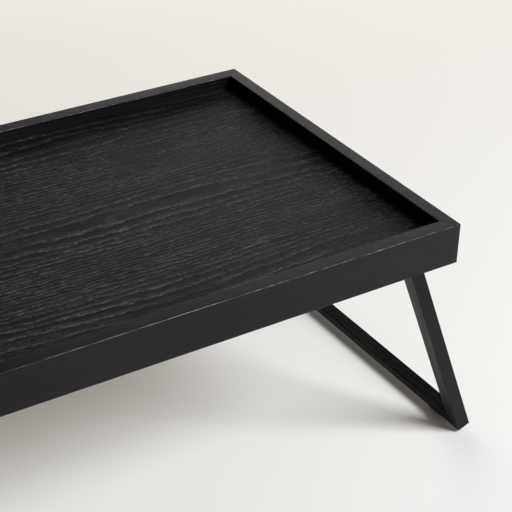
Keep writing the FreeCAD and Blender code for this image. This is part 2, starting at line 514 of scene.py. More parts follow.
@dataclass(frozen=True)
class VeneerRings:
    """Growth rings of one wide sheet of crown-cut ash, as lines over X and Y.

    The sheet is cut so that wide, wandering rings lie over each heart, and tight, straight ones between.
    """

    rings_per_metre: float = 150.0
    heart_swing: float = 0.42
    heart_pitch: float = 0.150
    heart_place: float = 0.006
    wander: float = 4.2
    wave: float = 1.4
    ripple: float = 1.1
    # Brushing strength at the middle and its fall per metre to the right; through the proud lines' colour
    # they also grade a painted highlight, stronger at the left end.
    bite_at_middle: float = 0.74
    bite_per_metre: float = -1.5

    def count(self, graph: Graph, sheet: NodeSocket) -> NodeSocket:
        """Ring number at a place, which grows from the front of the sheet to the back.

        Args:
            graph: Graph that the nodes are added to.
            sheet: Place on the sheet in metres, with the fibres along X.

        Returns:
            The ring number, not rounded.
        """
        across = graph.split(sheet)[1]
        angle = graph.times(graph.math("SUBTRACT", across, self.heart_place), math.tau / self.heart_pitch)
        swing = self.rings_per_metre * self.heart_swing * self.heart_pitch / math.tau
        crowded = graph.times(graph.math("SINE", angle), -swing)
        even = graph.scaled(across, self.rings_per_metre, crowded)
        bent = graph.scaled(graph.noise(sheet, (3.4, 13.0, 1.0), 1.0, 0.4), self.wander, even)
        crowding = graph.scaled(graph.math("COSINE", angle), -self.heart_swing, 1.0)
        close = graph.times(graph.noise(sheet, (9.0, 60.0, 1.0), 3.0, 0.55), crowding)
        fine = graph.times(graph.noise(sheet, (42.0, 130.0, 1.0), 2.0, 0.6), crowding)
        return graph.scaled(fine, self.ripple, graph.scaled(close, self.wave, bent))

    def strength(self, graph: Graph, sheet: NodeSocket) -> NodeSocket:
        """How hard the brush bit at a place: unevenly, and harder towards the left end. Through the proud
        lines' colour it also paints a highlight that is stronger towards the left.

        Args:
            graph: Graph that the nodes are added to.
            sheet: Place on the sheet in metres, with the fibres along X.

        Returns:
            The strength, from about 0.1 at the right end to 1.3 at the left.
        """
        broken = graph.ramp(graph.noise(sheet, (11.0, 85.0, 1.0), 3.0, 0.6), 0.30, 0.55, 0.38, 1.08)
        along = graph.split(sheet)[0]
        # Falling from left to right, this also grades the painted highlight on the proud lines.
        return graph.times(broken, graph.scaled(along, self.bite_per_metre, self.bite_at_middle))


def ring_line(graph: Graph, rings: NodeSocket) -> NodeSocket:
    """A line that starts sharply at the start of each ring and fades through it.

    Args:
        graph: Graph that the nodes are added to.
        rings: Ring number.

    Returns:
        1 on the line and 0 off it.
    """
    through = graph.math("FRACT", rings)
    fade = graph.math("POWER", graph.math("SUBTRACT", 1.0, through), RING_FALLOFF)
    return graph.times(graph.ramp(through, 0.0, RING_ONSET), fade)


class SharedGroup(ABC):
    """A shader group that is built once, for all the materials that use it."""

    NAME: str
    INPUTS: tuple[tuple[str, str], ...]
    OUTPUTS: tuple[str, ...]

    def tree(self) -> NodeTree:
        """Build the group, or find it if it is built.

        Returns:
            The shader node group.
        """
        if self.NAME in bpy.data.node_groups:
            return bpy.data.node_groups[self.NAME]
        tree = bpy.data.node_groups.new(self.NAME, "ShaderNodeTree")
        for name, kind in self.INPUTS:
            tree.interface.new_socket(name=name, in_out="INPUT", socket_type="NodeSocket" + kind)
        for name in self.OUTPUTS:
            tree.interface.new_socket(name=name, in_out="OUTPUT", socket_type="NodeSocketFloat")
        graph = Graph(tree)
        found = self.results(graph, graph.node("NodeGroupInput").outputs)
        ends = graph.node("NodeGroupOutput").inputs
        for name, socket in zip(self.OUTPUTS, found):
            graph.feed(ends[name], socket)
        return tree

    @abstractmethod
    def results(self, graph: Graph, given: object) -> tuple[NodeSocket, ...]:
        """Add the nodes that turn the group's inputs into its outputs, in their order."""


class AshFigure(SharedGroup):
    """What all ash shows inside its rings: pores, fibres, speckle and slow changes of tone.

    A Ring Depth below 0 lets the ring's line stand proud.
    """

    NAME = "ash_figure"
    INPUTS = (
        ("Place", "Vector"), ("Rings", "Float"), ("Pore Length", "Float"), ("Pore Width", "Float"),
        ("Ring Depth", "Float"),
    )
    OUTPUTS = ("Ring Line", "Fibre", "Pores", "Tone", "Speckle", "Height")

    def results(self, graph: Graph, given: object) -> tuple[NodeSocket, ...]:
        """Add the nodes.

        Args:
            graph: Graph over the group's tree.
            given: The group's inputs.

        Returns:
            The results, in the order of the group's outputs.
        """
        where = given["Place"]
        line = ring_line(graph, given["Rings"])
        fibre = graph.noise(where, (55.0, 1500.0, 1500.0), 3.0, 0.6)
        pores = graph.times(self.pores(graph, given), graph.scaled(line, 0.85, 0.15))
        tone = graph.noise(where, (9.0, 34.0, 34.0), 3.0, 0.55)
        speckle = graph.noise(where, (240.0, 640.0, 640.0), 2.0, 0.6)
        sunk = graph.math("SUBTRACT", 1.0, graph.times(line, given["Ring Depth"]))
        height = graph.scaled(fibre, 0.35, graph.scaled(pores, -0.6, sunk))
        return line, fibre, pores, tone, speckle, graph.scaled(speckle, 0.8, height)

    def pores(self, graph: Graph, given: object) -> NodeSocket:
        """Short cut vessels, each a narrow slot along the fibres.

        Args:
            graph: Graph over the group's tree.
            given: The group's inputs.

        Returns:
            1 inside a pore and 0 outside.
        """
        node = graph.node("ShaderNodeCombineXYZ")
        sizes = (given["Pore Length"], given["Pore Width"], given["Pore Width"])
        for socket, part, size in zip(node.inputs, graph.split(given["Place"]), sizes):
            graph.feed(socket, graph.math("DIVIDE", part, size))
        return graph.ramp(graph.noise(node.outputs[0], None, 1.0), 0.54, 0.66)


class EasedEdge(SharedGroup):
    """Finds the rounded edges of squared timber, where the rim's lacquer wears, and where the legs get a
    painted shade.
    """

    NAME = "eased_edge"
    INPUTS = (("Normal", "Vector"), ("Breakup", "Float"))
    OUTPUTS = ("Edge",)

    def results(self, graph: Graph, given: object) -> tuple[NodeSocket, ...]:
        """Add the nodes that find faces turned between two sides of the timber.

        Args:
            graph: Graph over the group's tree.
            given: The group's inputs.

        Returns:
            1 on a rounded edge and 0 on a flat, broken up.
        """
        first, second, third = (graph.math("POWER", part, 2.0) for part in graph.split(given["Normal"]))
        pairs = graph.scaled(second, third, graph.times(first, second))
        turned = graph.ramp(graph.times(graph.scaled(third, first, pairs), 4.0), 0.35, 0.85)
        return (graph.times(turned, graph.ramp(given["Breakup"], 0.42, 0.64)),)


# ---- Finishes ----


@dataclass
class Surface:
    """A material under construction: its graph, its shader and the place that patterns are read at."""

    material: Material
    graph: Graph
    shader: Node
    place: NodeSocket
    facing: NodeSocket

    @classmethod
    def start(cls, name: str) -> "Surface":
        """Begin a material with a Principled shader and Object coordinates.

        Args:
            name: Name of the material.

        Returns:
            The new surface.
        """
        material = bpy.data.materials.new(name)
        material.use_nodes = True
        graph = Graph(material.node_tree)
        shader = next(node for node in graph.tree.nodes if node.type == "BSDF_PRINCIPLED")
        place_node = graph.node("ShaderNodeTexCoord")
        return cls(material, graph, shader, place_node.outputs["Object"], place_node.outputs["Normal"])

    def set(self, **values: Value | Colour) -> None:
        """Feed the shader's inputs; underscores in a name stand for spaces.

        Args:
            **values: Number, colour or socket for each input.
        """
        for key, value in values.items():
            socket = self.shader.inputs[key.replace("_", " ")]
            if isinstance(value, tuple):
                value = (*value, 1.0)
            self.graph.feed(socket, value)

    def bump(self, height: NodeSocket, distance: float) -> None:
        """Raise the surface by a height map.

        Args:
            height: The height, from 0 to 1.
            distance: What a height of 1 means, in metres.
        """
        node = self.graph.node("ShaderNodeBump")
        node.inputs["Distance"].default_value = distance
        self.graph.feed(node.inputs["Height"], height)
        self.graph.feed(self.shader.inputs["Normal"], node.outputs["Normal"])

    def turned(self, vector: NodeSocket, grain: Grain) -> NodeSocket:
        """Turn a place or a direction so that the fibres lie along X.

        Args:
            vector: The place or direction.
            grain: The way the fibres run.

        Returns:
            The turned vector.
        """
        node = self.graph.node("ShaderNodeMapping")
        node.inputs["Rotation"].default_value = [math.radians(angle) for angle in grain.value]
        self.graph.feed(node.inputs["Vector"], vector)
        return node.outputs[0]

    def group(self, shared: SharedGroup, **inputs: Value) -> Node:
        """Add a shared group; underscores in a name stand for spaces.

        Args:
            shared: The group.
            **inputs: Number or socket for each of its inputs.

        Returns:
            The group node.
        """
        node = self.graph.node("ShaderNodeGroup", node_tree=shared.tree())
        for key, value in inputs.items():
            self.graph.feed(node.inputs[key.replace("_", " ")], value)
        return node


@dataclass(frozen=True)
class StainedAsh:
    """Solid ash, planed, stained black and lacquered satin."""

    grain: Grain
    deep: Colour = (0.0022, 0.0018, 0.0026)
    pale: Colour = (0.0105, 0.0086, 0.0116)
    # Colour of the rounded edges: paler wear on the rim; the legs set it near black, as painted shade.
    rubbed: Colour = (0.050, 0.048, 0.050)
    gloss: float = 0.22
    edge_shine: float = 0.28
    name: str = "stained_ash"
    ring_spacing: float = 2.6 * MM
    ring_bend: float = 4.0
    ring_depth: float = 0.35
    heart: Point = (0.0, 0.031, 0.352)
    pore_length: float = 5.5 * MM
    pore_width: float = 0.42 * MM
    relief: float = 0.20 * MM
    roughness: float = 0.36
    coat_roughness: float = 0.16

    def material(self) -> Material:
        """Build the material.

        Returns:
            The finished material.
        """
        surface = Surface.start(f"{self.name}_{self.grain.name.lower()}")
        graph = surface.graph
        where = surface.turned(surface.place, self.grain)
        figure = surface.group(
            AshFigure(), Place=where, Rings=self.rings(graph, where), Ring_Depth=self.ring_depth,
            Pore_Length=self.pore_length, Pore_Width=self.pore_width,
        ).outputs
        lift = graph.times(figure["Ring Line"], graph.ramp(figure["Fibre"], 0.3, 0.7, 0.35, 1.0))
        colour = graph.blend(graph.times(lift, 0.9), self.deep, self.pale)
        colour = graph.blend(graph.ramp(figure["Tone"], 0.3, 0.72, 0.0, 0.5), colour, self.pale)
        colour = graph.blend(graph.ramp(figure["Speckle"], 0.50, 0.72, 0.0, 0.55), colour, self.pale)
        colour = graph.blend(graph.times(figure["Pores"], 0.8), colour, self.deep)
        breakup = graph.noise(surface.place, (130.0, 130.0, 130.0), 4.0, 0.7)
        facing = surface.turned(surface.facing, self.grain)
        edge = surface.group(EasedEdge(), Normal=facing, Breakup=breakup).outputs["Edge"]
        # Rounded edges take the edge colour: wear on the rim, painted shade on the legs.
        surface.set(Base_Color=graph.blend(graph.times(edge, 0.5), colour, self.rubbed))
        rough = graph.scaled(figure["Pores"], 0.25, graph.scaled(lift, 0.16, self.roughness))
        surface.set(Roughness=graph.scaled(edge, -0.14, rough))
        surface.set(Specular_IOR_Level=self.gloss, Coat_Roughness=self.coat_roughness)
        surface.set(Coat_Weight=graph.times(edge, self.edge_shine))
        surface.bump(figure["Height"], self.relief)
        return surface.material

    def rings(self, graph: Graph, where: NodeSocket) -> NodeSocket:
        """Ring number inside the board: distance from the tree's heart, which bends along the fibres.

        Args:
            graph: The material's graph.
            where: Place with the fibres along X.

        Returns:
            The ring number, not rounded.
        """
        bend = graph.noise(where, (5.0, 9.0, 9.0), 2.0, 0.45)
        centred = graph.vector("SUBTRACT", where, self.heart).outputs[0]
        flat = graph.vector("MULTIPLY", centred, (0.0, 1.0, 1.0)).outputs[0]
        count = graph.math("DIVIDE", graph.vector("LENGTH", flat).outputs["Value"], self.ring_spacing)
        return graph.scaled(bend, self.ring_bend, count)


def leg_finish(grain: Grain) -> StainedAsh:
    """The legs' stained ash: a flatter black than the rim's, with painted shade along the rounded edges.

    Args:
        grain: The way the fibres run.

    Returns:
        The finish.
    """
    return StainedAsh(
        grain,
        deep=(0.0024, 0.0025, 0.0026),
        pale=(0.0175, 0.0166, 0.0172),
        # Painted shade: the legs' rounded edges are darkened to near black.
        rubbed=(0.0010, 0.0010, 0.0011),
        gloss=0.13,
        edge_shine=0.0,
        name="leg_ash",
    )


@dataclass(frozen=True)
class BrushedVeneer:
    """Crown-cut ash veneer, wire-brushed so that its hard lines stand proud and stained black; the proud
    lines are painted paler, part stain wear and part painted highlight, with flecks of painted sheen.
    """

    rings: VeneerRings = VeneerRings()
    deep: Colour = (0.0020, 0.0020, 0.0022)
    # Paler colour of the proud lines and hazy patches: stain wear, and on the proud lines also a painted
    # highlight.
    worn: Colour = (0.0760, 0.0775, 0.0830)
    # Painted sheen: colour of small pale bluish flecks.
    bloom: Colour = (0.088, 0.089, 0.122)
    ridge_height: float = 1.5
    fleck_rarity: float = 0.70
    pore_length: float = 7.0 * MM
    pore_width: float = 0.5 * MM
    relief: float = 0.30 * MM
    roughness: float = 0.54
    gloss: float = 0.17

    def material(self) -> Material:
        """Build the material.

        Returns:
            The finished material.
        """
        surface = Surface.start("brushed_veneer")
        graph = surface.graph
        where = surface.place
        strength = self.rings.strength(graph, where)
        figure = surface.group(
            AshFigure(), Place=where, Rings=self.rings.count(graph, where),
            Ring_Depth=graph.times(strength, -self.ridge_height),
            Pore_Length=self.pore_length, Pore_Width=self.pore_width,
        ).outputs
        brushed = graph.ramp(figure["Fibre"], 0.36, 0.62)
        ridge = graph.times(figure["Ring Line"], strength)
        dotted = graph.ramp(figure["Speckle"], 0.42, 0.60, 0.12, 1.9)
        # Proud lines painted paler: stain wear and a painted highlight.
        rubbed = graph.times(graph.times(ridge, graph.scaled(brushed, 0.7, 0.5)), dotted, clamp=True)
        haze = graph.times(graph.ramp(figure["Tone"], 0.40, 0.72, 0.05, 0.28), brushed)
        haze = graph.times(haze, dotted, clamp=True)
        colour = graph.blend(graph.math("MAXIMUM", rubbed, haze), self.deep, self.worn)
        streaked = graph.times(brushed, graph.scaled(figure["Ring Line"], 0.75, 0.25))
        # Flecks of painted sheen over the brushed fibres.
        colour = graph.blend(graph.times(self.bloomed(graph, where), streaked), colour, self.bloom)
        surface.set(Base_Color=graph.blend(graph.times(figure["Pores"], 0.85), colour, self.deep))
        rough = graph.scaled(ridge, -0.16, self.roughness)
        surface.set(Roughness=graph.scaled(figure["Pores"], 0.2, rough), Specular_IOR_Level=self.gloss)
        surface.bump(figure["Height"], self.relief)
        return surface.material

    def bloomed(self, graph: Graph, where: NodeSocket) -> NodeSocket:
        """Small pale flecks of painted sheen.

        Args:
            graph: The material's graph.
            where: Place on the sheet.

        Returns:
            1 inside a fleck and 0 outside.
        """
        torn = graph.noise(where, (90.0, 420.0, 1.0), 4.0, 0.65)
        patches = graph.noise(where, (22.0, 62.0, 1.0), 1.0, 0.4)
        ragged = graph.scaled(graph.math("SUBTRACT", torn, 0.5), 0.30, patches)
        fleck = graph.ramp(ragged, self.fleck_rarity, self.fleck_rarity + 0.12, 0.0, 0.85)
        return graph.math("MAXIMUM", fleck, graph.times(graph.ramp(torn, 0.66, 0.80), 0.25))


@dataclass(frozen=True)
class PlainWood:
    """Bare or backing timber that mostly stays out of sight."""

    name: str
    deep: Colour
    pale: Colour
    grain: Grain = Grain.ALONG_X
    roughness: float = 0.62
    pore_length: float = 3.0 * MM
    pore_width: float = 0.3 * MM
    ring_depth: float = 0.35
    ring_bend: float = 22.0
    relief: float = 0.04 * MM

    def material(self) -> Material:
        """Build the material.

        Returns:
            The finished material.
        """
        surface = Surface.start(self.name)
        graph = surface.graph
        where = surface.turned(surface.place, self.grain)
        rings = graph.times(graph.noise(where, (4.0, 20.0, 20.0), 2.0), self.ring_bend)
        figure = surface.group(
            AshFigure(), Place=where, Rings=rings, Ring_Depth=self.ring_depth,
            Pore_Length=self.pore_length, Pore_Width=self.pore_width,
        ).outputs
        lift = graph.scaled(figure["Ring Line"], 0.5, graph.times(figure["Fibre"], 0.4))
        surface.set(Base_Color=graph.blend(lift, self.deep, self.pale))
        surface.set(Roughness=graph.scaled(figure["Pores"], 0.1, self.roughness))
        surface.bump(figure["Height"], self.relief)
        return surface.material


@dataclass(frozen=True)
class Steel:
    """Machined hardware, plated or oxidised."""

    name: str
    colour: Colour
    worn: Colour
    metallic: float
    roughness: float
    turning_marks: float = 0.012 * MM

    def material(self) -> Material:
        """Build the material.

        Returns:
            The finished material.
        """
        surface = Surface.start(self.name)
        graph = surface.graph
        cloud = graph.noise(surface.place, (260.0, 260.0, 260.0), 4.0, 0.65)
        turned = graph.noise(surface.place, (2600.0, 900.0, 2600.0), 2.0)
        edges = graph.node("ShaderNodeNewGeometry").outputs["Pointiness"]
        rubbed = graph.times(graph.ramp(edges, 0.52, 0.6), graph.ramp(cloud, 0.35, 0.6))
        surface.set(Base_Color=graph.blend(rubbed, self.colour, self.worn), Metallic=self.metallic)
        surface.set(Roughness=graph.scaled(cloud, 0.22, self.roughness))
        surface.bump(turned, self.turning_marks)
        return surface.material


@dataclass(frozen=True)
class Moulded:
    """Nylon or rubber with the fine texture of its mould."""

    name: str
    colour: Colour
    dusty: Colour
    roughness: float
    texture: float

    def material(self) -> Material:
        """Build the material.

        Returns:
            The finished material.
        """
        surface = Surface.start(self.name)
        graph = surface.graph
        cloud = graph.noise(surface.place, (140.0, 140.0, 140.0), 4.0, 0.6)
        spark = graph.noise(surface.place, (3800.0, 3800.0, 3800.0), 2.0)
        surface.set(Base_Color=graph.blend(graph.ramp(cloud, 0.4, 0.75, 0.0, 0.6), self.colour, self.dusty))
        surface.set(Roughness=graph.scaled(cloud, 0.14, self.roughness))
        surface.bump(spark, self.texture)
        return surface.material


# ---- Sub-assemblies ----


@dataclass
class Rim:
    """The four mitred rails round the tray, grooved for the panel."""

    edge_radius: float = 1.1 * MM
    edge_facets: int = 4
    groove_depth: float = 6.0 * MM
    mitre_ease: float = 0.12 * MM
    division: float = 5.0 * MM
    hollow_depth: float = 0.14 * MM
    hollow_size: float = 11.0 * MM
    long_finish: StainedAsh = StainedAsh(Grain.ALONG_X)
    end_finish: StainedAsh = StainedAsh(Grain.ALONG_Y)

    def build(self) -> None:
        """Model one rail of each kind, copy both to the far sides, and dress all four."""
        long_material = self.long_finish.material()
        end_material = self.end_finish.material()
        front = self.rail("front_rail", AXIS_X)
        right = self.rail("right_end_rail", AXIS_Y)
        back = copy_of(front, "back_rail_ash")
        left = copy_of(right, "left_end_rail_ash")
        for piece in (back, left):
            turn(piece, 180, "Z", Vector((0, 0, 0)))
        rails = ((front, "front_rail", long_material), (back, "back_rail", long_material),
                 (right, "right_end_rail", end_material), (left, "left_end_rail", end_material))
        for piece, node, material in rails:
            weather(piece, self.hollow_depth, self.hollow_size)
            smooth(piece)
            place(piece, material, "tray", node, "stained_ash")

    def rail(self, node: str, along: Vector) -> Object:
        """Model one rail in its place.

        Args:
            node: CAD node that it stands for.
            along: Direction of its length.

        Returns:
            The rail, without hollows or finish.
        """
        low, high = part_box(node)
        panel_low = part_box("panel_back_veneer")[0].z
        panel_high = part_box("panel_face_veneer")[1].z
        outward = Vector((0, -1, 0)) if along.x else AXIS_X
        low, high = self.squared(low, high, along)
        piece = add_box(node + "_ash", low, high)
        with editing(piece):
            for height in (panel_low, panel_high):
                score_by_plane(Vector((0, 0, height)), AXIS_Z)
            divide_along(piece, along, round((high - low).dot(along) / self.division))
            self.cut_groove(piece, outward, panel_low, panel_high)
            self.round_long_edges(piece, along, low.z, high.z)
            self.mitre(piece, along, outward, low, high)
        return piece

    def squared(self, low: Vector, high: Vector, along: Vector) -> tuple[Vector, Vector]:
        """Stretch a rail's box to the tray's full length or width, before its tips are rounded.

        Args:
            low: Lowest corner of the CAD rail.
            high: Highest corner of the CAD rail.
            along: Direction of its length.

        Returns:
            The stretched corners.
        """
        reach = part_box("right_end_rail")[1].x if along.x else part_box("back_rail")[1].y
        axis = 0 if along.x else 1
        low, high = low.copy(), high.copy()
        low[axis], high[axis] = -reach, reach
        return low, high

    def cut_groove(self, piece: Object, outward: Vector, low: float, high: float) -> None:
        """Sink the strip of the inner face that the panel sits in.

        Args:
            piece: The rail in edit mode.
            outward: Direction of its outer face.
            low: Height of the panel's underside.
            high: Height of the panel's face.
        """
        def in_groove(face: BMFace) -> bool:
            """Say whether a face is part of the strip."""
            return face.normal.dot(outward) < -ALIGNED and low < face.calc_center_median().z < high

        pick(piece, Element.FACE, in_groove)
        draw_picked(outward * self.groove_depth)

    def round_long_edges(self, piece: Object, along: Vector, low: float, high: float) -> None:
        """Round the four outer edges that run along the rail.

        Args:
            piece: The rail in edit mode.
            along: Direction of its length.
            low: Height of its underside.
            high: Height of its top.
        """
        def outer(edge: BMEdge) -> bool:
            """Say whether an edge lies at the top or the bottom of the rail."""
            return runs_along(edge, along) and (middle_of(edge).z < low + MM or middle_of(edge).z > high - MM)

        pick(piece, Element.EDGE, outer)
        round_picked(self.edge_radius, self.edge_facets)

    def mitre(self, piece: Object, along: Vector, outward: Vector, low: Vector, high: Vector) -> None:
        """Cut both ends at 45 degrees and round the tips to meet the next rail's.

        Args:
            piece: The rail in edit mode.
            along: Direction of the rail's length.
            outward: Direction of its outer face.
            low: Lowest corner of the uncut rail.
            high: Highest corner of the uncut rail.
        """
        axis = 0 if along.x else 1
        corner = Vector((high.x if outward.x >= 0 else low.x, high.y if outward.y >= 0 else low.y, low.z))
        for end in (-1, 1):
            corner[axis] = end * high[axis]
            normal = (along * end - outward).normalized()
            cut_by_plane(corner, normal)
            self.round_tip(corner - (along * end + outward) * self.edge_radius, outward, along * end)
            pick(piece, Element.EDGE, lambda edge: self.borders(edge, normal))
            bpy.ops.mesh.bevel(offset=self.mitre_ease, segments=1, affect="EDGES", clamp_overlap=True)

    def round_tip(self, centre: Vector, outward: Vector, ahead: Vector) -> None:
        """Round the upright edge at one tip, facet by facet, as far as the mitre.

        Args:
            centre: A point on the rounding's axis.
            outward: Direction of the rail's outer face.
            ahead: Direction of the rail's length towards this tip.
        """
        for facet in range(1, self.edge_facets + 1):
            angle = math.radians(45 * facet / self.edge_facets)
            normal = outward * math.cos(angle) + ahead * math.sin(angle)
            cut_by_plane(centre + normal * self.edge_radius, normal)

    @staticmethod
    def borders(edge: BMEdge, normal: Vector) -> bool:
        """Say whether an edge borders a face with the given normal."""
        return any(face.normal.dot(normal) > ALIGNED for face in edge.link_faces)


@dataclass
class TrayPanel:
    """The veneered panel: a brushed face with real relief, a core and a smooth backing."""

    relief: float = 0.24 * MM
    brush_marks: float = 0.13 * MM
    cells_along: int = 232
    cells_across: int = 404
    face: BrushedVeneer = BrushedVeneer()
    backing: PlainWood = PlainWood(
        "backing_veneer", (0.011, 0.0105, 0.0115), (0.022, 0.021, 0.023), roughness=0.5,
    )
    core: PlainWood = PlainWood("plywood", (0.42, 0.28, 0.16), (0.66, 0.50, 0.33))
    soft_angle: float = 60.0

    def build(self) -> None:
        """Model the brushed face, and dress the CAD core and backing."""
        sheet = self.brushed_sheet()
        make_active(sheet)
        bpy.ops.object.shade_smooth_by_angle(angle=math.radians(self.soft_angle))
        place(sheet, self.face.material(), "tray", "panel_face_veneer", "brushed_veneer")
        dress("panel_core", self.core.material())
        dress("panel_back_veneer", self.backing.material())

    def brushed_sheet(self) -> Object:
        """Model the face veneer: a fine grid, brushed down between its hard rings, on a closed sheet.

        Returns:
            The sheet, without its finish.
        """
        low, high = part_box("panel_face_veneer")
        size = high - low
        deselect_everything()
        bpy.ops.mesh.primitive_grid_add(
            x_subdivisions=self.cells_along, y_subdivisions=self.cells_across, size=1.0,
            location=((low.x + high.x) / 2, (low.y + high.y) / 2, high.z),
        )
        sheet = bpy.context.active_object
        sheet.scale = (size.x, size.y, 1.0)
        named(sheet, "brushed_face_veneer")
        self.brush(sheet)
        with editing(sheet):
            pick(sheet, Element.EDGE, lambda edge: edge.is_boundary)
            draw_picked(Vector((0, 0, low.z - high.z)))
            bpy.ops.transform.resize(value=(1, 1, 0), center_override=(0, 0, low.z))
            bpy.ops.mesh.edge_face_add()
            bpy.ops.mesh.select_all(action="SELECT")
            bpy.ops.mesh.normals_make_consistent(inside=False)
        return sheet

    def brush(self, sheet: Object) -> None:
        """Lower all but the hard line of every ring, with a Geometry Nodes modifier, applied.

        Args:
            sheet: The flat grid.
        """
        tree = bpy.data.node_groups.new("brushing", "GeometryNodeTree")
        tree.interface.new_socket(name="Geometry", in_out="INPUT", socket_type="NodeSocketGeometry")
        tree.interface.new_socket(name="Geometry", in_out="OUTPUT", socket_type="NodeSocketGeometry")
        graph = Graph(tree)
        where = graph.node("GeometryNodeInputPosition").outputs[0]
        rings = self.face.rings
        line = ring_line(graph, rings.count(graph, where))
        strokes = graph.noise(where, (26.0, 520.0, 1.0), 2.0, 0.6)
        ridge = graph.times(line, rings.strength(graph, where))
        ring_depth = graph.scaled(ridge, self.relief, -self.relief)
        depth = graph.scaled(strokes, -self.brush_marks, ring_depth)
        offset = graph.node("ShaderNodeCombineXYZ")
        graph.feed(offset.inputs[2], depth)
        move = graph.node("GeometryNodeSetPosition")
        graph.feed(move.inputs["Geometry"], graph.node("NodeGroupInput").outputs[0])
        graph.feed(move.inputs["Offset"], offset.outputs[0])
        graph.feed(graph.node("NodeGroupOutput").inputs[0], move.outputs[0])
        make_active(sheet)
        modifier = sheet.modifiers.new("brushing", "NODES")
        modifier.node_group = tree
        bpy.ops.object.modifier_apply(modifier=modifier.name)
        bpy.data.node_groups.remove(tree)


